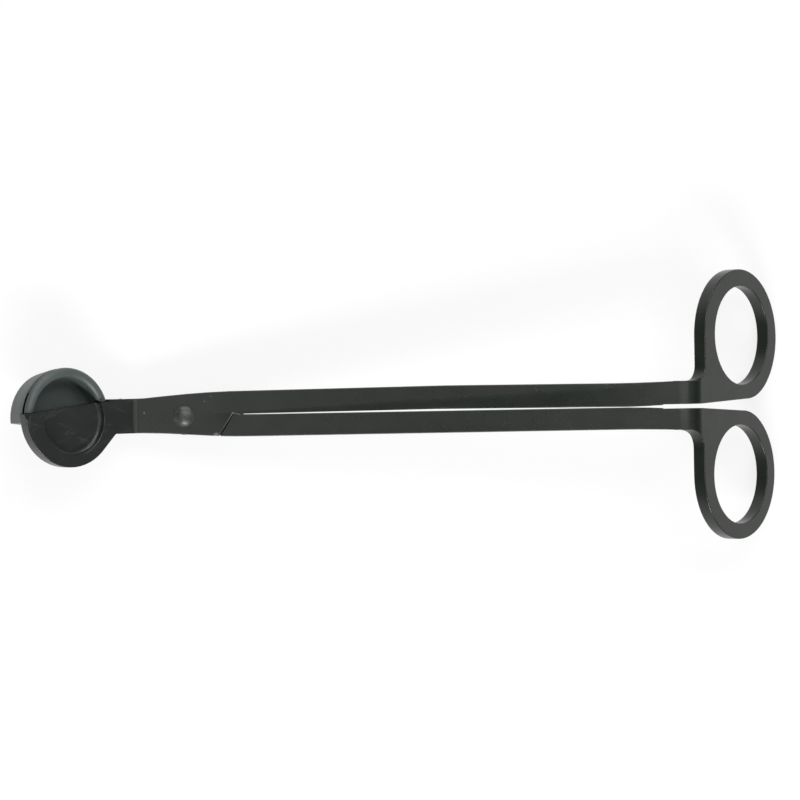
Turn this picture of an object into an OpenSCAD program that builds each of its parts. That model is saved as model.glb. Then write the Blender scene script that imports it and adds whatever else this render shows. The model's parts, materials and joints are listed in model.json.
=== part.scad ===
// Wick trimmer: two one-piece forged levers crossing at a rivet.
// The blade lever carries the lower half of the round head, the tray lever the
// upper half, which catches the trimmed wick. It lies at rest on a table, z = 0.

/* [Levers] */
// Thickness of both levers at the pivot, the shanks and the rings
plate_t = 3.1; // [2.6:0.1:3.3]
// Distance from the pivot to the start of the handle bend
shank_l = 115; // [100:1:130]
// Width of the blade lever's shank
blade_shank_w = 5.4; // [5:0.1:6]
// Width of the tray lever's shank
tray_shank_w = 5.2; // [4.8:0.1:5.8]
// Offset of the line where the closed shanks meet from the axis of the tool
parting_y = 0.3; // [0.2:0.05:0.4]
// Depth of the shallow bow in the shanks' inner edges
bow_h = 0.3; // [0.1:0.05:0.4]

/* [Neck] */
// Width of the neck between the pivot and the head
neck_w = 8; // [7.6:0.1:8.4]
// Distance from the pivot to the start of the neck bend
neck_l = 10.2; // [9.5:0.1:12]
// Inside radius of the neck bend
neck_r = 3; // [2.5:0.1:4]
// Angle by which the head bends up from the shanks
head_angle = 38.5; // [35:0.1:46]
// Thickness of the tray lever's neck
tray_neck_t = 2.5; // [2.2:0.1:2.8]
// Hollow between the levers that lets the bent necks turn past each other
relief = 0.6; // [0.55:0.05:0.7]
// Gap between surfaces that slide or meet
slide_gap = 0.06; // [0.05:0.01:0.1]
// Gap along the shoulder where one lever laps the other, and between the cutting edges
lap_gap = 0.14; // [0.12:0.01:0.2]

/* [Head] */
// Outer radius of the tray's wall
tray_r = 11.25; // [10.8:0.05:11.6]
// Radius of the blade's round edge
blade_r = 12; // [11.4:0.05:12.4]
// Offset of the blade's centre towards the tray
blade_shift = 0.85; // [0.4:0.05:1.2]
// Distance from the end of the neck bend to the centre of the head
head_reach = 16.4; // [16:0.1:19]
// Angle of each cutting edge to the axis of the tool
edge_angle = 6.4; // [5:0.1:8]
// Distance of the blade's cutting edge from the centre of the head
edge_offset = 2.6; // [2.2:0.05:2.8]
// Distance of the tray's hidden cutting edge from the centre of the head
tray_offset = 2; // [1.6:0.05:2.4]
// Radius of the recess in the blade
recess_r = 8.1; // [7.5:0.05:8.6]
// Depth of the recess in the blade
recess_d = 1.4; // [1:0.1:1.7]
// Offset of the recess from the centre of the head towards the neck
recess_shift = 0.8; // [0.4:0.1:1.2]
// Radius of the fillet between the recess's floor and its wall
recess_fillet = 0.9; // [0.4:0.1:0.9]
// Width of the rounded rim of the tray
rim_w = 2.3; // [2:0.05:2.5]
// Height of the rim above the shear plane
rim_h = 2.35; // [2:0.05:2.8]
// Overhang of the rim past both sides of the wall
rim_lip = 0.15; // [0.1:0.01:0.2]
// Depth of the tray's underside below the shear plane
tray_d = 7.4; // [6.6:0.1:8]
// Depth of the tray's floor below the shear plane
bowl_d = 3.4; // [2.6:0.1:4.4]
// Angle by which the tray's wall tapers towards its underside
tray_taper = 9; // [4:0.5:11]
// Radius of the tray's lower outer edge
tray_edge_r = 2; // [0.8:0.1:2.6]
// Distance from the end of the neck bend to the web that joins neck and head
web_reach = 4.2; // [3:0.1:4.5]
// Radius of the fillet between the tray's floor and its wall
bowl_fillet = 1.2; // [0.8:0.1:1.5]

/* [Finger rings] */
// Outer radius of the blade lever's finger ring
blade_ring_r = 15.85; // [15.3:0.05:16.2]
// Outer radius of the tray lever's finger ring
tray_ring_r = 15.55; // [15.2:0.05:16]
// Distance from the end of the handle bend to the centre of the blade lever's ring
blade_ring_x = 17.5; // [16.5:0.1:19]
// Distance from the end of the handle bend to the centre of the tray lever's ring
tray_ring_x = 16.2; // [16:0.1:18.5]
// Distance of each ring's centre from the line where the shanks meet
ring_spread = 16.3; // [16:0.05:16.8]
// Distance of each ring's inner side from the line where the shanks meet
ring_clear = 1.35; // [1.1:0.05:1.8]
// Radius by which each ring's inner side turns into its round outer edge
ring_turn_r = 12; // [9:0.5:13]
// Radius of each finger hole
ring_hole_r = 11.7; // [11:0.05:12]
// Offset of the finger hole towards the free end of the ring
hole_shift = 0.4; // [0:0.05:0.8]
// Offset of the finger hole away from the other ring
hole_lift = 0.15; // [0:0.05:0.3]
// Angle by which the rings bend down from the shanks
ring_angle = 51.3; // [40:0.1:56]
// Inside radius of the handle bend
bend_r = 4.2; // [3:0.1:5]
// Radius of the fillet between the blade lever's ring and its shank
blade_fillet = 3.6; // [2:0.1:4.5]
// Radius of the fillet between the tray lever's ring and its shank
tray_fillet = 4.5; // [2:0.1:5]

/* [Rivet] */
// Diameter of the rivet's shaft
rivet_d = 3; // [2.6:0.1:3.2]
// Diameter of the rivet's domed head
rivet_head_d = 5; // [4.6:0.1:5.6]
// Height of the rivet's domed head
rivet_head_h = 1; // [0.8:0.1:1.3]
// Diameter of the upset tail under the tray lever
tail_d = 4.6; // [4:0.1:5]
// Height of the upset tail
tail_h = 0.8; // [0.6:0.1:1]

/* [Hidden] */
$fn = 96;
// Sides of the small circles in turned sections
section_fn = 32;
steel = [0.17, 0.18, 0.18];
rivet_steel = [0.3, 0.31, 0.31];
// Radial play of the turning blade lever and of the fixed tray lever on the shaft
run_play = 0.05;
fix_play = 0.01;
// Reach of the prisms and half planes that cut the levers, beyond all of the tool
reach = 250;
// Length by which a cut runs past the face it opens
past = 1;
// Depth by which a raised part is rooted in the body under it
root = 0.2;
// Step, too small to see, by which one outline hands over to the next along an edge
handover = 0.02;

// Neck: edges, bend centre and the radii of the nested bends
neck_shift = 0.25;
neck_hi = neck_w / 2 + neck_shift;
neck_lo = -neck_w / 2 + neck_shift;
bend_z = plate_t + neck_r;
blade_under_r = neck_r + plate_t;
tray_top_r = blade_under_r + relief;
tray_under_r = tray_top_r + tray_neck_t;
tray_bottom = -relief - tray_neck_t;
head_x = -neck_l - blade_under_r * sin(head_angle);
head_z = bend_z - blade_under_r * cos(head_angle);
// Length by which the neck's outline runs on under the bend, and the ends of the shanks' outlines
neck_lap = 2;
neck_end = head_x - 0.3;
shank_end = shank_l - 1;
bend_steps = 14;
// The tray lever's neck stays inside the outline of the blade lever's
neck_inset = 0.12;

// Pivot land and the lap where the tray lever rises to the level of the blade lever
land_r = 4.1;
boss_r = 4.33;
boss_end = [4, 3];
flare_x = 14;
shoulder_x = 8.2;
lap_x = 11.4;
nib_x = [13.1, 13.5];
nib_h = 0.45;
nib_dip = 0.15;
ramp_x = [8, 19];
// Gap along X beside the oblique shoulder, and overlap of the ramp and the lap inside the tray lever
shoulder_gap = 1.2 * lap_gap;
ramp_lap = 0.5;

// Shanks: the bow ends at the stop, where the closed shanks touch, and the handles splay past it
stop_x = 100;
splay_x = 106;
splay = 0.05;
shank_taper = 0.25;
bend_flare = 0.25;
station = 5;
blade_out = parting_y + blade_shank_w;
tray_out = parting_y - tray_shank_w;

// Rings: each one's centre, radius, inner side and fillet, with Y away from the other ring
web_x = 8;
blade_ring = [blade_ring_x, parting_y + ring_spread, blade_ring_r, parting_y + ring_clear, blade_fillet];
tray_ring = [tray_ring_x, ring_spread - parting_y, tray_ring_r, ring_clear - parting_y, tray_fillet];
ring_end = max(blade_ring_x + blade_ring_r, tray_ring_x + tray_ring_r);
handle_c = [shank_l, -bend_r];
handle_r = bend_r + plate_t;

// Head: the seam ends in a step up to the edge of the neck
seam_end = 10.8;
step_x = seam_end * cos(edge_angle) - edge_offset * sin(edge_angle);
head_end = -blade_r - past;
recess_lift = -0.2;
// Centre of the tray, and its rolled rim in section
tray_c = [-0.3, 0.3];
bead_r = rim_w / 2;
bead_c = [tray_r + rim_lip - bead_r, rim_h - bead_r];
rim_corner_r = 1.3;
// Levels of the tray under the blade and of its floor, and its hidden wall along the cutting edge
land_z = -relief - 0.1;
floor_z = -bowl_d;
bowl_r = tray_r + 2 * rim_lip - rim_w;
lip_w = 1.2;
lip_end = 6;
// Centre of the tray's lower outer edge in section
foot_z = tray_edge_r - tray_d;
foot_x = tray_r - (land_z - foot_z) * tan(tray_taper) - tray_edge_r / cos(tray_taper);
// Chamfer of the blade's tip: its start on the seam's upper edge, its slope and its heading
tip_x = -10.9;
tip_slope = 56.5;
tip_heading = 147;
tip_size = 6;

// Rest pose: the neck bend and the tips of both rings touch the table
function turned(a, p) = [p[0] * cos(a) + p[1] * sin(a), p[1] * cos(a) - p[0] * sin(a)];
function head_point(p) = [head_x, head_z] + turned(head_angle, [p[0] - head_reach, p[1]]);
function ring_point(p) =
    [shank_l + bend_r * sin(ring_angle), bend_r * cos(ring_angle) - bend_r] + turned(ring_angle, p);
bend_c = [-neck_l, bend_z];
tip_low = ring_point([ring_end, 0]);
tip_high = ring_point([ring_end, plate_t]);
tray_edge = head_point([tray_c[0] - foot_x, foot_z]);
span = tip_low - bend_c;
rest_tilt = -atan2(span[1], span[0]) - asin(tray_under_r / norm(span));
low_z = turned(-rest_tilt, bend_c)[1] - tray_under_r;
min_x = turned(-rest_tilt, tray_edge)[0] - tray_edge_r;
max_x = turned(-rest_tilt, tip_high)[0];

// Edges of the levers in plan, as functions of the distance from the pivot
function clamped(t) = max(0, min(1, t));
function eased(t) = 3 * t * t - 2 * t * t * t;
function bow(x) = bow_h * sin(180 * clamped((x - flare_x) / (stop_x - flare_x)));
function opening(x) = splay * max(0, x - splay_x);
function flare(x) = bend_flare * pow(clamped((x - stop_x) / (shank_l - stop_x)), 2);
function blade_edge_out(x) =
    neck_hi + (blade_out - neck_hi) * sin(90 * clamped((x + neck_l) / (flare_x + neck_l)))
    + shank_taper * clamped((x - flare_x) / (shank_l - flare_x)) + bow(x) + flare(x);
function blade_edge_in(x) = parting_y + lap_gap / 2 + bow(x) + opening(x);
function tray_edge_out(x) =
    neck_lo + (tray_out - neck_lo) * eased(clamped((x + neck_l) / (flare_x + neck_l))) - flare(x);
function tray_edge_in(x) = parting_y - lap_gap / 2 - bow(x) / 2 - opening(x);
function stations(a, b) = [for (i = [0 : ceil((b - a) / station)]) min(b, a + i * station)];
function reversed(v) = [for (i = [len(v) - 1 : -1 : 0]) v[i]];
function ramp_z(x) = tray_bottom * (1 - clamped((x - ramp_x[0]) / (ramp_x[1] - ramp_x[0])));

// Points along an arc, from one angle to another
function arc(c, r, from, to) =
    [for (i = [0 : bend_steps]) c + r * [cos(from + (to - from) * i / bend_steps),
                                         sin(from + (to - from) * i / bend_steps)]];

// Solid as wide as both levers, from its side view
module side_view(points) {
    translate([0, reach, 0]) rotate([90, 0, 0]) linear_extrude(2 * reach) polygon(points);
}

// Places children so that the tool rests on z = 0, centred over the origin
module at_rest() {
    translate([-(min_x + max_x) / 2, 0, -low_z]) rotate([0, -rest_tilt, 0]) children();
}

// Frame of the head: origin at its centre in the shear plane, Z out of the tray
module at_head() {
    translate([head_x, 0, head_z]) rotate([0, head_angle, 0]) translate([-head_reach, 0, 0]) children();
}

// Frame of a ring: origin at the end of the handle bend, X towards the free end
module at_ring() {
    translate([shank_l, 0, -bend_r]) rotate([0, ring_angle, 0]) translate([0, 0, bend_r]) children();
}

// Half plane on the +Y side of a line at a distance from the origin
module above(angle, distance) {
    rotate(angle) translate([-reach, distance]) square([2 * reach, reach]);
}

// Flat outline of a finger ring, a disc whose inner rear quarter stays solid and whose inner side
// runs straight on from the shank. It leaves everything behind the handle bend whole.
module ring_outline(edge_in, edge_out, ring) {
    centre = [ring[0], ring[1]];
    side_x = ring[0] - ring[2];
    root_in = edge_in - handover;
    root_out = edge_out + handover;
    drop = ring[1] - ring[3] - ring_turn_r;
    inset = ring[2] - ring_turn_r - handover;
    turn = [sqrt(max(0, inset * inset - drop * drop)), -drop];
    ray = 2 * ring[2] / norm(turn) * turn;
    fillet_c = [side_x - ring[4], root_out + ring[4]];
    difference() {
        union() {
            intersection() {
                translate(centre) circle(ring[2]);
                translate(centre)
                    polygon([[0, 0], ray, [reach, 0], [reach, reach], [-reach, reach], [-reach, 0]]);
            }
            translate(centre + turn) circle(ring_turn_r);
            polygon([[-web_x, -reach], [-web_x, root_in], [0, root_in],
                     [ring[0] + turn[0], ring[3] + handover], centre, [side_x, ring[1]], [side_x, root_out],
                     [-web_x, root_out], [-web_x, reach], [-reach, reach], [-reach, -reach]]);
            difference() {
                translate([fillet_c[0], root_out]) square(ring[4]);
                translate(fillet_c) circle(ring[4]);
            }
        }
        translate(centre + [hole_shift, hole_lift]) circle(ring_hole_r);
    }
}

// Prism of a finger ring, square to its own plate
module ring_prism(edge_in, edge_out, ring) {
    at_ring() translate([0, 0, -reach]) linear_extrude(2 * reach) ring_outline(edge_in, edge_out, ring);
}

// Prism that cuts the edges of a shank in plan and leaves everything past the handle bend
// whole, and past the neck bend too where the lead says so
module shank_prism(lead, lower, upper) {
    translate([0, 0, -reach]) linear_extrude(2 * reach) polygon(concat(
        lead, lower, [[shank_end, -reach], [reach, -reach], [reach, reach], [shank_end, reach]],
        reversed(upper)
    ));
}

module blade_shank_prism() {
    shank_prism([[neck_end, reach], [-reach, reach], [-reach, -reach], [neck_end, -reach]],
        concat([for (x = stations(neck_end, shoulder_x)) [x, tray_edge_out(x)]],
            [[lap_x, parting_y + nib_h], [nib_x[0], parting_y - nib_dip]],
            [for (x = stations(nib_x[1], shank_end)) [x, blade_edge_in(x)]]),
        [for (x = stations(neck_end, shank_end)) [x, blade_edge_out(x)]]);
}

// Side of the seam where the tray's rim stands, set off by a gap. It starts behind the neck's edge.
module beyond_seam(gap) {
    difference() {
        above(edge_angle, edge_offset + gap);
        translate([step_x - gap, -reach]) square([reach, reach + neck_hi + handover + gap]);
    }
}

// Blade half of the head in plan, with its web to the neck. It leaves everything behind
// the neck bend whole.
module blade_head_outline() {
    web = [head_reach - web_reach, neck_lo - handover];
    from_centre = web - [0, blade_shift];
    touch_a = atan2(from_centre[1], from_centre[0]) - acos(blade_r / norm(from_centre));
    touch_r = blade_r - handover;
    touch = [touch_r * cos(touch_a), touch_r * sin(touch_a) + blade_shift];
    open_x = head_reach + neck_lap;
    difference() {
        union() {
            translate([0, blade_shift]) circle(blade_r);
            polygon([[0, 0], touch, web, [open_x, web[1]], [open_x, -reach], [reach, -reach], [reach, reach],
                     [0, reach]]);
        }
        intersection() {
            beyond_seam(0);
            translate([-reach, -reach]) square([reach + open_x, 2 * reach]);
        }
    }
}

// Dish with a filleted floor, turned, to be cut from a solid
module dish(r, fillet, depth) {
    rotate_extrude() {
        square([r - fillet, depth]);
        translate([0, fillet]) square([r, depth - fillet]);
        intersection() {
            translate([r - fillet, fillet]) circle(fillet, $fn = section_fn);
            square(r);
        }
    }
}

// Block that chamfers the upper corner of the blade's tip
module tip_cut() {
    tip_y = (edge_offset + tip_x * sin(edge_angle)) / cos(edge_angle);
    translate([tip_x, tip_y, plate_t]) rotate([0, tip_slope, tip_heading])
        translate([-tip_size / 2, -tip_size / 2, 0]) cube(tip_size);
}

// Edges of a handle end in side view, from the shank to the free end of the ring
function handle_edge(r, z) =
    concat(arc(handle_c, r, 90, 90 - ring_angle), [ring_point([ring_end + past, z])]);

// Blade lever in side view: head, neck bend, shank, handle bend and ring
module blade_side() {
    side_view(concat(
        [head_point([head_end, 0])], arc(bend_c, blade_under_r, 270 - head_angle, 270),
        handle_edge(bend_r, 0), reversed(handle_edge(handle_r, plate_t)),
        arc(bend_c, neck_r, 270, 270 - head_angle), [head_point([head_end, plate_t])]
    ));
}

module blade_lever() {
    color(steel) at_rest() difference() {
        intersection() {
            blade_side();
            blade_shank_prism();
            at_head() translate([0, 0, -reach]) linear_extrude(2 * reach) blade_head_outline();
            ring_prism(blade_edge_in(shank_l), blade_edge_out(shank_l), blade_ring);
        }
        at_head() translate([recess_shift, recess_lift, plate_t - recess_d])
            dish(recess_r, recess_fillet, recess_d + past);
        at_head() tip_cut();
        translate([0, 0, -past]) cylinder(r = rivet_d / 2 + run_play, h = plate_t + 2 * past);
    }
}

// Wall and rim in plan: they end just clear of the blade, with a round inner corner at each end
module rim_outline() {
    inner_r = bowl_r - rim_lip;
    end_y = edge_offset + lap_gap + tray_c[0] * sin(edge_angle) - tray_c[1] * cos(edge_angle);
    corner_y = end_y + rim_corner_r;
    corner_x = sqrt(pow(inner_r + rim_corner_r, 2) - corner_y * corner_y);
    touch_y = corner_y * inner_r / (inner_r + rim_corner_r);
    difference() {
        intersection() {
            translate(tray_c) circle(tray_r + past);
            beyond_seam(lap_gap);
        }
        translate(tray_c) rotate(edge_angle) difference() {
            translate([-corner_x, end_y - past]) square([2 * corner_x, past + touch_y - end_y]);
            for (side = [-1, 1])
                translate([side * corner_x, corner_y]) circle(rim_corner_r);
        }
    }
}

// Wall of the tray beside the blade with its rolled rim, turned
module tray_wall() {
    translate(tray_c) rotate_extrude() {
        translate([bowl_r, land_z]) square([tray_r - bowl_r, bead_c[1] - land_z]);
        translate(bead_c) circle(bead_r, $fn = section_fn);
    }
}

// Base of the tray, turned, with a tapered wall and a rounded lower edge
module tray_base() {
    foot = [foot_x + tray_edge_r * cos(tray_taper), foot_z - tray_edge_r * sin(tray_taper)];
    translate(tray_c) rotate_extrude() {
        polygon([[0, -tray_d], [foot_x, -tray_d], foot, [tray_r, land_z], [0, land_z]]);
        translate([foot_x, foot_z]) circle(tray_edge_r, $fn = section_fn);
    }
}

// Half of the tray's base and its bowl, which leaves a wall along the hidden cutting edge
module tray_half() {
    difference() {
        intersection() {
            tray_base();
            translate([0, 0, -tray_d - past]) linear_extrude(tray_d + past) above(-edge_angle, -tray_offset);
        }
        intersection() {
            translate([tray_c[0], tray_c[1], floor_z]) dish(bowl_r, bowl_fillet, past - floor_z);
            translate([0, 0, floor_z - past]) linear_extrude(2 * past - floor_z)
                above(-edge_angle, lip_w - tray_offset);
        }
    }
}

// Lip that raises the hidden wall to the cutting edge, just under the blade
module tray_lip() {
    intersection() {
        translate(tray_c) circle(tray_r);
        rotate(-edge_angle) translate([-reach, -tray_offset]) square([reach + lip_end, lip_w]);
    }
}

module tray_head() {
    tray_half();
    intersection() {
        tray_wall();
        translate([0, 0, land_z - past]) linear_extrude(past - land_z + rim_h + past) rim_outline();
    }
    translate([0, 0, land_z - root]) linear_extrude(root - land_z - lap_gap) tray_lip();
}

// Tray lever under the blade lever: the neck, the boss round the rivet and the lap
module tray_lap_outline() {
    hi = neck_hi - neck_inset;
    circle(boss_r);
    polygon(concat(
        [[head_x - head_reach, hi], [-neck_l, hi], [0, boss_r], boss_end,
         [flare_x, tray_edge_in(flare_x)]],
        [for (x = reversed(stations(-neck_l, flare_x))) [x, tray_edge_out(x) + neck_inset]],
        [[head_x - head_reach, neck_lo + neck_inset]]
    ));
}

module tray_shank_prism() {
    left_x = shoulder_x + shoulder_gap;
    shank_prism([],
        [for (x = concat([left_x], stations(lap_x, shank_end))) [x, tray_edge_out(x)]],
        concat([[lap_x + shoulder_gap, parting_y + nib_h - lap_gap],
                [nib_x[0] + lap_gap / 2, parting_y - nib_dip - lap_gap]],
            [for (x = stations(nib_x[1] + lap_gap, shank_end)) [x, tray_edge_in(x)]]));
}

// Tray lever in side view: its neck with the lap below the shoulder
module tray_neck_side() {
    side_view(concat(
        [head_point([bowl_r, -relief]), head_point([bowl_r, tray_bottom])],
        arc(bend_c, tray_under_r, 270 - head_angle, 270),
        [[ramp_x[0] - ramp_lap, tray_bottom], [flare_x, ramp_z(flare_x) + ramp_lap], [flare_x, -relief]],
        arc(bend_c, tray_top_r, 270, 270 - head_angle)
    ));
}

// Tray lever in side view: the shank with its ramp, the handle bend and the ring
module tray_shank_side() {
    side_view(concat(
        [[ramp_x[0], tray_bottom], [ramp_x[1], 0]], handle_edge(bend_r, 0),
        reversed(handle_edge(handle_r, plate_t)), [[ramp_x[0], plate_t]]
    ));
}

module tray_lever() {
    color(steel) at_rest() difference() {
        union() {
            intersection() {
                tray_neck_side();
                translate([0, 0, -reach]) linear_extrude(2 * reach) tray_lap_outline();
            }
            intersection() {
                tray_shank_side();
                tray_shank_prism();
                mirror([0, 1, 0]) ring_prism(-tray_edge_in(shank_l), -tray_edge_out(shank_l), tray_ring);
            }
            translate([0, 0, -relief - root]) cylinder(r = land_r, h = relief + root - slide_gap);
            at_head() tray_head();
        }
        translate([0, 0, tray_bottom - past]) cylinder(r = rivet_d / 2 + fix_play, h = reach);
    }
}

// Rivet with a domed head over the blade lever and an upset tail under the tray lever
module pivot_rivet() {
    color(rivet_steel) at_rest() rotate_extrude($fn = 64) {
        translate([0, tray_bottom - slide_gap]) square([rivet_d / 2, plate_t - tray_bottom + 2 * slide_gap]);
        translate([0, plate_t + slide_gap]) dome(rivet_head_d, rivet_head_h);
        translate([0, tray_bottom]) mirror([0, 1]) dome(tail_d, tail_h);
    }
}

// Half section of a spherical cap that stands on the X axis
module dome(d, h) {
    r = (d * d / 4 + h * h) / (2 * h);
    intersection() {
        translate([0, h - r]) circle(r);
        square([d / 2, h]);
    }
}

tray_lever();
blade_lever();
pivot_rivet();
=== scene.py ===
"""Wick trimmer: rounded skins, coatings, floor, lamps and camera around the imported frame."""
import json
import math

import bmesh
import bpy
from mathutils import Matrix, Vector

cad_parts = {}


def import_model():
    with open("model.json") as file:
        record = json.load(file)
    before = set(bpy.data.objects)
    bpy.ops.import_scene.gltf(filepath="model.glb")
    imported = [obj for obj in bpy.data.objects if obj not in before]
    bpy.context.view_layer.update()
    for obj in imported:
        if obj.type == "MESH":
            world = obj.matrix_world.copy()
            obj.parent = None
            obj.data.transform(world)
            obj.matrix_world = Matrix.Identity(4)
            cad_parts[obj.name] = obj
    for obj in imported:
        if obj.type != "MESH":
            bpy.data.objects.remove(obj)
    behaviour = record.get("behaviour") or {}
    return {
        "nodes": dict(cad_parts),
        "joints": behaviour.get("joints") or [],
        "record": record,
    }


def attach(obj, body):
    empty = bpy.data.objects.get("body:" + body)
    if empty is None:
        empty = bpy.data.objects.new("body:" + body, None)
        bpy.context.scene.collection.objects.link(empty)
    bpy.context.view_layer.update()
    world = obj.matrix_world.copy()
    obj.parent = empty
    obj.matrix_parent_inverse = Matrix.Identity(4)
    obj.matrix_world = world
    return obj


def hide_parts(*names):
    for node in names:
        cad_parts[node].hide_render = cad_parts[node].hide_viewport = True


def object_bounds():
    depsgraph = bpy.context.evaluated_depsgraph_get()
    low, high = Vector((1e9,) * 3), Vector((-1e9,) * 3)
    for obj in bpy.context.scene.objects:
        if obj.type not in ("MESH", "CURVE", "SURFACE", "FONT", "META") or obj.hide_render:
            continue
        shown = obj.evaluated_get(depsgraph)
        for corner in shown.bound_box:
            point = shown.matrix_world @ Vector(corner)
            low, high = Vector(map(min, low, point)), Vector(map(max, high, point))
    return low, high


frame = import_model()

CAD_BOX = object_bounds()
MM = 0.001

# The tool's own frame: origin at the pivot, X to the rings, Z along the rivet
HINGE = frame["joints"][0]
PIVOT = Vector(HINGE["pos_m"])
UP = Vector(HINGE["axis"]).normalized()
ALONG = (Vector((1, 0, 0)) - UP * UP.x).normalized()
ACROSS = UP.cross(ALONG)
TOOL = Matrix.Translation(PIVOT) @ Matrix((ALONG, ACROSS, UP)).transposed().to_4x4()

# The head's own frame, from the tray's flat underside
FOOT = next(m for m in frame["record"]["mounts"] if m["name"] == "tray_underside")
UNDERSIDE = Vector(FOOT["pos_m"])
HEAD_UP = -Vector(FOOT["axis"]).normalized()
HEAD_CENTRE = UNDERSIDE - Vector((0, UNDERSIDE.y, 0))

# Where the head, the tray and the tray's seam lie, in the tool's own frame
HEAD_START = -14 * MM
CUP_END = -13 * MM
NECK_START = -16 * MM
SEAM_END = 4.2 * MM

# The painted shade in the groove under the outside of the tray's rim: height over the underside, half its
# width, inner radius
CREASE_H = 8.1 * MM
CREASE_HALF = 0.45 * MM
CREASE_FADE = 0.2 * MM
CREASE_R = 10.9 * MM
CREASE_R_FADE = 0.1 * MM

# How far sharp edges are rounded, and in how many steps
ROUNDING = 0.22 * MM
RIVET_ROUNDING = 0.1 * MM
ROUNDING_STEPS = 4

# Corners nearer than this are merged, faces flatter than this are joined, edges over this are sharp
MERGE = 0.035 * MM
FLAT = math.radians(0.4)
SHARP = math.radians(28)

# Sharp edges that meet at less than this, or of fewer roundings in length, stay as they are
ACUTE = math.radians(40)
SHORT = 3

# Marks in the coating, in millimetres in the tool's own frame: specks and a worn corner with their radius,
# painted highlight lines along the shoulder's edges
SPECKS = (((-9.1, 0.9, 3.1), 0.25), ((4.9, 3.4, 3.1), 0.17), ((6.4, 4.5, 3.1), 0.17))
RUBBED_CORNER = ((7.5, -4.5, 3.0), 0.75)
SHOULDER_HIGHLIGHTS = (((8.2, -4.6, 3.1), (11.4, 0.55, 3.1)), ((11.4, 0.65, 3.1), (13.2, 0.15, 3.1)))
LINE_WIDTH = 0.16 * MM
LINE_SOFT = 0.08 * MM
LINE_FADE = 0.3 * MM

# Noise scales of the coatings, per metre
WAVES = 60
MOTTLE = 160
SHEEN = 220
DENTS = 620
PATCHES = 800
HIGHLIGHT_PATCHES = 900
RIVET_GRAIN = 4000
GRAIN = 5200

# Fine scratches on the blade's head: turn from the tool's length, and noise scale across them
SCRATCHES = ((0.45, 900), (-0.3, 700))
SCRATCH_STRETCH = 14
SCRATCH_LEVEL = 0.66
SCRATCH_BAND = 0.02

DUST = (0.11, 0.11, 0.10)
# Colour of the painted highlight lines along the shoulder's edges
HIGHLIGHT_TONE = (0.13, 0.132, 0.125)
SCRATCH = (0.05, 0.05, 0.047)
# Colour of the painted shade in the tray's groove
SHADE = (0.002, 0.003, 0.002)
COATING_IOR = 1.5
SHINE = 0.5


# ---------------------------------------------------------------- nodes
class Tree:
    """Short calls to build a material's node tree."""

    def __init__(self, name):
        self.material = bpy.data.materials.new(name)
        self.material.use_nodes = True
        self.tree = self.material.node_tree
        self.tree.nodes.clear()

    def add(self, kind, inputs=None, **settings):
        node = self.tree.nodes.new(kind)
        for key, value in settings.items():
            setattr(node, key, value)
        for key, value in (inputs or {}).items():
            if isinstance(value, bpy.types.NodeSocket):
                self.tree.links.new(value, node.inputs[key])
            else:
                node.inputs[key].default_value = value
        return node

    def where(self):
        """The place of a point on the surface, in metres."""
        return self.add("ShaderNodeTexCoord").outputs["Object"]

    def noise(self, scale, detail=2.0, rough=0.5, place=None):
        inputs = {"Vector": self.where() if place is None else place, "Scale": scale,
                  "Detail": detail, "Roughness": rough}
        return self.add("ShaderNodeTexNoise", inputs).outputs["Fac"]

    def fit(self, value, low, high, to_low=0.0, to_high=1.0):
        inputs = {"Value": value, "From Min": low, "From Max": high, "To Min": to_low, "To Max": to_high}
        return self.add("ShaderNodeMapRange", inputs).outputs["Result"]

    def math(self, what, a, b=0.0):
        return self.add("ShaderNodeMath", {0: a, 1: b}, operation=what).outputs[0]

    def vector(self, what, a, b=(0, 0, 0)):
        """A vector operation that gives a vector."""
        return self.add("ShaderNodeVectorMath", {0: a, 1: b}, operation=what).outputs["Vector"]

    def measure(self, what, a, b=(0, 0, 0)):
        """A vector operation that gives a number."""
        return self.add("ShaderNodeVectorMath", {0: a, 1: b}, operation=what).outputs["Value"]

    def mix(self, factor, a, b):
        node = self.add("ShaderNodeMix", {"Factor": factor}, data_type="RGBA")
        for socket, value in ((node.inputs[6], a), (node.inputs[7], b)):
            if isinstance(value, bpy.types.NodeSocket):
                self.tree.links.new(value, socket)
            else:
                socket.default_value = (*value, 1)
        return node.outputs[2]

    def bump(self, height, distance, strength, normal=None):
        inputs = {"Height": height, "Distance": distance, "Strength": strength}
        if normal is not None:
            inputs["Normal"] = normal
        return self.add("ShaderNodeBump", inputs).outputs[0]

    def finish(self, shader):
        out = self.add("ShaderNodeOutputMaterial")
        self.tree.links.new(shader.outputs[0], out.inputs["Surface"])
        return self.material


def within(t, value, half, soft):
    """Mask of where a value is nearer to zero than half, fading out over soft."""
    return t.fit(t.math("ABSOLUTE", value), half, half + soft, 1.0, 0.0)


# ---------------------------------------------------------------- masks
def scratches(t, turn, scale):
    """Mask of long fine lines that run one way across the head, turned from the tool's length."""
    along = Matrix.Rotation(turn, 3, HEAD_UP) @ ACROSS.cross(HEAD_UP)
    axes = Matrix((along, HEAD_UP.cross(along), HEAD_UP)).transposed()
    inputs = {"Vector": t.where(), "Rotation": axes.to_euler(), "Scale": (SCRATCH_STRETCH, 1, 1)}
    turned = t.add("ShaderNodeMapping", inputs, vector_type="TEXTURE").outputs[0]
    value = t.noise(scale, 1.0, place=turned)
    return within(t, t.math("SUBTRACT", value, SCRATCH_LEVEL), 0.0, SCRATCH_BAND)


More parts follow.
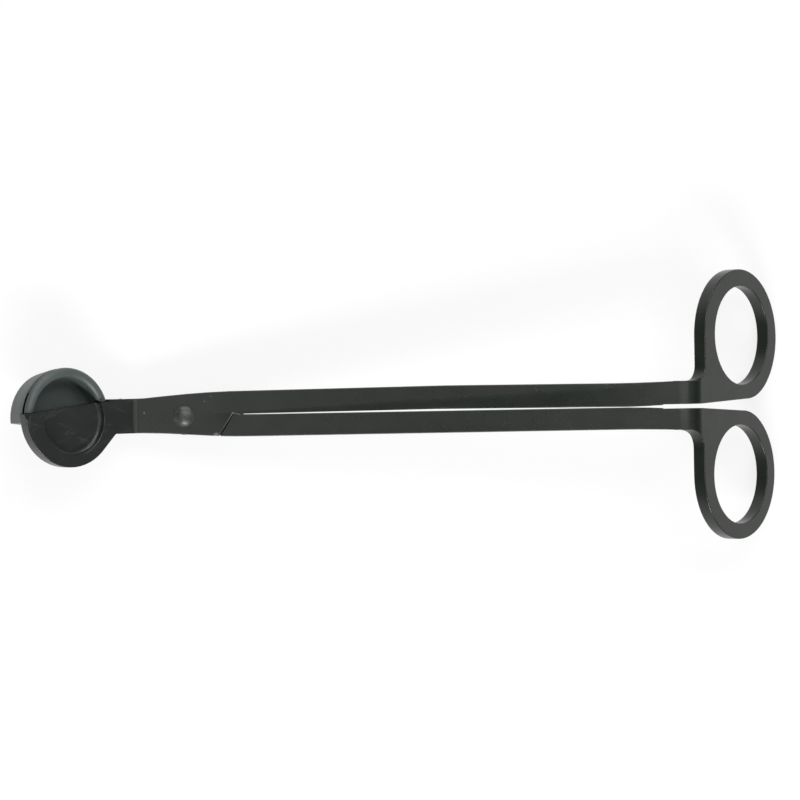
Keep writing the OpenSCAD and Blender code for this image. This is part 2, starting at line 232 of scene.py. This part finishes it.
def painted_crease_shade(t):
    """Mask of the painted shade: a dark line in the groove under the outside of the tray's rim."""
    height = t.measure("DOT_PRODUCT", t.vector("SUBTRACT", t.where(), UNDERSIDE), HEAD_UP)
    near = within(t, t.math("SUBTRACT", height, CREASE_H), CREASE_HALF, CREASE_FADE)
    aside = t.vector("CROSS_PRODUCT", t.vector("SUBTRACT", t.where(), HEAD_CENTRE), HEAD_UP)
    outside = t.fit(t.measure("LENGTH", aside), CREASE_R, CREASE_R + CREASE_R_FADE)
    return t.math("MULTIPLY", near, outside)


def spot(t, place, radius):
    """Mask around a point of the tool's own frame, in millimetres, that fades over its outer half."""
    apart = t.measure("DISTANCE", t.where(), TOOL @ (Vector(place) * MM))
    return t.fit(apart, 0.5 * radius * MM, radius * MM, 1.0, 0.0)


def line(t, start, end):
    """Mask of a thin straight line between two points of the tool's own frame, in millimetres."""
    start, end = (TOOL @ (Vector(p) * MM) for p in (start, end))
    way = (end - start).normalized()
    from_middle = t.vector("SUBTRACT", t.where(), (start + end) / 2)
    lengthwise = t.measure("DOT_PRODUCT", from_middle, way)
    sideways = t.measure("DOT_PRODUCT", from_middle, UP.cross(way))
    return t.math("MULTIPLY", within(t, lengthwise, (end - start).length / 2, LINE_FADE),
                  within(t, sideways, LINE_WIDTH / 2, LINE_SOFT))


# ---------------------------------------------------------------- coatings
def coated(t, tone, roughness, normal, shine=SHINE):
    """The finished material of a coating from its parts."""
    inputs = {"Base Color": tone, "Roughness": roughness, "Normal": normal, "IOR": COATING_IOR,
              "Specular IOR Level": shine}
    return t.finish(t.add("ShaderNodeBsdfPrincipled", inputs))


def satin(name, dark, light, rough, specks=(), highlight_lines=(), scratched=0.0, crease_shaded=False):
    """Satin coating: mottled tone, fine grain and faint waves, with the marks that are asked for: specks,
    painted highlight lines, scratches and painted shade in the groove.
    """
    t = Tree(name)
    tone = t.mix(t.fit(t.noise(MOTTLE, 3.0), 0.3, 0.7), dark, light)
    for place, radius in specks:
        tone = t.mix(spot(t, place, radius), tone, DUST)
    # painted highlight along the shoulder's edges, broken into patches
    for start, end in highlight_lines:
        patchy = t.fit(t.noise(HIGHLIGHT_PATCHES, 3.0, 0.7), 0.35, 0.55, 0.4, 1.0)
        tone = t.mix(t.math("MULTIPLY", line(t, start, end), patchy), tone, HIGHLIGHT_TONE)
    if scratched:
        crossed = t.math("MAXIMUM", *(scratches(t, turn, scale) for turn, scale in SCRATCHES))
        tone = t.mix(t.math("MULTIPLY", crossed, scratched), tone, SCRATCH)
    shine = SHINE
    if crease_shaded:
        # painted shade in the groove under the rim: a darker colour and less shine
        painted_shade = painted_crease_shade(t)
        tone = t.mix(painted_shade, tone, SHADE)
        shine = t.fit(painted_shade, 0.0, 1.0, SHINE, 0.0)
    roughness = t.fit(t.noise(SHEEN), 0.3, 0.7, rough - 0.02, rough + 0.03)
    waves = t.bump(t.noise(WAVES, 1.0), 0.4 * MM, 0.3)
    fine = t.bump(t.noise(GRAIN, 2.0, 0.6), 0.02 * MM, 0.08, waves)
    return coated(t, tone, roughness, fine, shine)


def lever_coating():
    return satin("lever_coating", (0.0045, 0.0075, 0.0045), (0.0075, 0.0110, 0.0072), 0.28,
                 specks=(*SPECKS, RUBBED_CORNER), highlight_lines=SHOULDER_HIGHLIGHTS)


def edge_coating():
    """The thinner coating on the levers' rounded edges."""
    return satin("lever_edge", (0.008, 0.0110, 0.008), (0.012, 0.0155, 0.012), 0.26,
                 specks=(RUBBED_CORNER,), highlight_lines=SHOULDER_HIGHLIGHTS)


def head_coating():
    """The scratched coating on the blade's half of the head."""
    return satin("head_coating", (0.0100, 0.0118, 0.0108), (0.0150, 0.0175, 0.0160), 0.3, scratched=0.5)


def cup_coating():
    """The lighter blue-green coating of the tray."""
    return satin("cup_coating", (0.060, 0.073, 0.070), (0.070, 0.085, 0.081), 0.46, crease_shaded=True)


def rivet_coating():
    """The rivet's coating, dented by the hammer."""
    t = Tree("rivet_coating")
    tone = t.mix(t.fit(t.noise(PATCHES, 3.0, 0.6), 0.35, 0.65), (0.022, 0.025, 0.022), (0.055, 0.060, 0.055))
    dents = t.add("ShaderNodeTexVoronoi", {"Vector": t.where(), "Scale": DENTS}, feature="SMOOTH_F1")
    dented = t.bump(dents.outputs["Distance"], 0.2 * MM, 0.4)
    fine = t.bump(t.noise(RIVET_GRAIN, 2.0, 0.6), 0.02 * MM, 0.6, dented)
    return coated(t, tone, 0.36, fine)


# ---------------------------------------------------------------- skins
def in_head(p):
    """Whether a point of the tool's own frame is on the blade's head and its web."""
    return p.x < HEAD_START


def in_cup(p):
    """Whether a point of the tool's own frame is on the tray, and not under the start of its neck."""
    return p.x < CUP_END and not (p.x > NECK_START and p.z < 0)


def on_seam(p):
    """Whether a point of the tool's own frame is on the tray's cut along the cutting edges."""
    return in_cup(p) and p.y < SEAM_END


def nowhere(_):
    return False


def weigh_edges(b, width, keep):
    """Marks the sharp edges for rounding, except at kept places and where short or acute ones meet."""
    to_tool = TOOL.inverted()
    weight = b.edges.layers.float.new("bevel_weight_edge")
    sharp = {e for e in b.edges if len(e.link_faces) == 2 and e.calc_face_angle() > SHARP}
    crowded = set()
    for vertex in b.verts:
        mine = [e for e in vertex.link_edges if e in sharp]
        ways = [(e.other_vert(vertex).co - vertex.co).normalized() for e in mine]
        acute = any(p.angle(q) < ACUTE for i, p in enumerate(ways) for q in ways[:i])
        short = len(mine) > 2 and min(e.calc_length() for e in mine) < SHORT * width
        if acute or short or keep(to_tool @ vertex.co):
            crowded.add(vertex)
    for edge in sharp:
        edge.smooth = not crowded.intersection(edge.verts)
        edge[weight] = float(edge.smooth)


def skin_mesh(node, width, keep):
    """A copy of the CAD node's mesh with its tiny faces merged and its edges marked for rounding."""
    mesh = frame["nodes"][node].data.copy()
    mesh.name = node + "_skin"
    mesh.materials.clear()
    b = bmesh.new()
    b.from_mesh(mesh)
    bmesh.ops.remove_doubles(b, verts=b.verts, dist=MERGE)
    bmesh.ops.dissolve_limit(b, angle_limit=FLAT, verts=b.verts, edges=b.edges)
    weigh_edges(b, width, keep)
    b.to_mesh(mesh)
    b.free()
    return mesh


def round_edges(piece, width, material_index):
    """Rounds the marked edges, and keeps the faces beside them evenly shaded."""
    bevel = piece.modifiers.new("edges", "BEVEL")
    bevel.width = width
    bevel.segments = ROUNDING_STEPS
    bevel.use_clamp_overlap = False
    bevel.limit_method = "WEIGHT"
    bevel.harden_normals = True
    bevel.miter_outer = "MITER_ARC"
    bevel.material = material_index
    normals = piece.modifiers.new("normals", "WEIGHTED_NORMAL")
    normals.keep_sharp = True


def skin(node, body, materials, width=ROUNDING, keep=nowhere):
    """The CAD node's surface with rounded edges, standing for the node; the last material is the edges'."""
    mesh = skin_mesh(node, width, keep)
    piece = bpy.data.objects.new(node + "_skin", mesh)
    bpy.context.scene.collection.objects.link(piece)
    for material in materials:
        mesh.materials.append(material)
    for polygon in mesh.polygons:
        polygon.use_smooth = True
        polygon.material_index = 0
    round_edges(piece, width, len(materials) - 1)
    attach(piece, body)
    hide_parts(node)
    return piece


def coat_where(piece, inside, material_index):
    """Gives a material to the faces whose centre passes a test in the tool's own frame."""
    to_tool = TOOL.inverted()
    for polygon in piece.data.polygons:
        if inside(to_tool @ polygon.center):
            polygon.material_index = material_index


def blade_lever(lever, edge):
    piece = skin("blade_lever", "blade_side", [lever, head_coating(), edge])
    coat_where(piece, in_head, 1)


def tray_lever(lever, edge):
    piece = skin("tray_lever", "tray_side", [lever, cup_coating(), edge], keep=on_seam)
    coat_where(piece, in_cup, 1)


def pivot_rivet():
    coat = rivet_coating()
    skin("pivot_rivet", "tray_side", [coat, coat], RIVET_ROUNDING)


# ---------------------------------------------------------------- stage
def seen_white(t, shader, share):
    """The shader with the share of white that the camera, gloss and glass see mixed in."""
    path = t.add("ShaderNodeLightPath").outputs
    through = t.math("MAXIMUM", path["Is Glossy Ray"], path["Is Transmission Ray"])
    seen = t.math("MAXIMUM", path["Is Camera Ray"], through)
    white = t.add("ShaderNodeEmission", {"Color": (1, 1, 1, 1), "Strength": 1.0})
    inputs = {0: t.math("MULTIPLY", seen, share), 1: shader.outputs[0], 2: white.outputs[0]}
    return t.add("ShaderNodeMixShader", inputs)


def floor():
    """White paper just under the part. Most of what the camera sees of it is plain white."""
    half_side, paleness, white_share = 3.0, 0.88, 0.82
    t = Tree("floor_paper")
    paper = t.add("ShaderNodeBsdfDiffuse", {"Color": (paleness, paleness, paleness, 1)})
    corners = [(x * half_side, y * half_side, 0) for x, y in ((-1, -1), (1, -1), (1, 1), (-1, 1))]
    mesh = bpy.data.meshes.new("floor")
    mesh.from_pydata(corners, [], [(0, 1, 2, 3)])
    mesh.materials.append(t.finish(seen_white(t, paper, white_share)))
    piece = bpy.data.objects.new("floor", mesh)
    bpy.context.scene.collection.objects.link(piece)
    piece.location.z = CAD_BOX[0][2] - 0.02 * MM


def world(strength):
    """A plain pale room."""
    room = bpy.data.worlds.new("studio")
    bpy.context.scene.world = room
    room.use_nodes = True
    background = room.node_tree.nodes["Background"]
    background.inputs["Color"].default_value = (1, 1, 1, 1)
    background.inputs["Strength"].default_value = strength


def lamp(name, place, aim, size, power):
    """A rectangular lamp, in metres and watts."""
    data = bpy.data.lights.new(name, "AREA")
    data.shape = "RECTANGLE"
    data.size, data.size_y = size
    data.energy = power
    piece = bpy.data.objects.new(name, data)
    bpy.context.scene.collection.objects.link(piece)
    piece.location = place
    piece.rotation_euler = (Vector(aim) - Vector(place)).to_track_quat("-Z", "Y").to_euler()


def lamps():
    """Soft lamps fitted to the photo's tones: strong from the front and back, weak from the sides."""
    middle = (0, 0, 0)
    lamp("left_high", (-0.45, 0.0, 0.85), middle, (0.4, 0.6), 0.8)
    lamp("back_right", (0.45, 0.45, 0.75), middle, (0.4, 0.4), 1.1)
    lamp("back_high", (0.0, 0.5, 0.8), middle, (0.5, 0.3), 2.4)
    lamp("back_low", (0.0, 0.75, 0.35), middle, (0.8, 0.3), 2.7)
    lamp("right_high", (0.65, 0.05, 0.65), middle, (0.4, 0.4), 0.15)
    lamp("strip", (0.30, 0.0, 1.0), (0.05, 0, 0), (0.06, 0.7), 0.8)
    lamp("front", (-0.05, -0.65, 0.50), (-0.03, 0, 0), (0.5, 0.2), 6.0)


def camera():
    """At the photo's viewing angle: nearly along the rivet, from above."""
    distance, aside, below = 758.6 * MM, 50.22 * MM, 3.777 * MM
    tip, lean, roll = 0.004924, 0.012698, 0.017635
    turn = Matrix.Rotation(roll, 3, "Z") @ Matrix.Rotation(tip, 3, "X") @ Matrix.Rotation(lean, 3, "Y")
    back = turn.transposed()
    place = back @ Vector((aside, below, distance))
    data = bpy.data.cameras.new("camera")
    data.sensor_width = 36
    data.lens = 146.67
    data.clip_start = 0.01
    data.clip_end = 20
    piece = bpy.data.objects.new("camera", data)
    bpy.context.scene.collection.objects.link(piece)
    piece.matrix_world = TOOL @ Matrix.Translation(place) @ back.to_4x4()
    bpy.context.scene.camera = piece


lever, edge = lever_coating(), edge_coating()
blade_lever(lever, edge)
tray_lever(lever, edge)
pivot_rivet()
floor()
world(0.18)
lamps()
camera()

bpy.context.scene.view_settings.view_transform = "Standard"
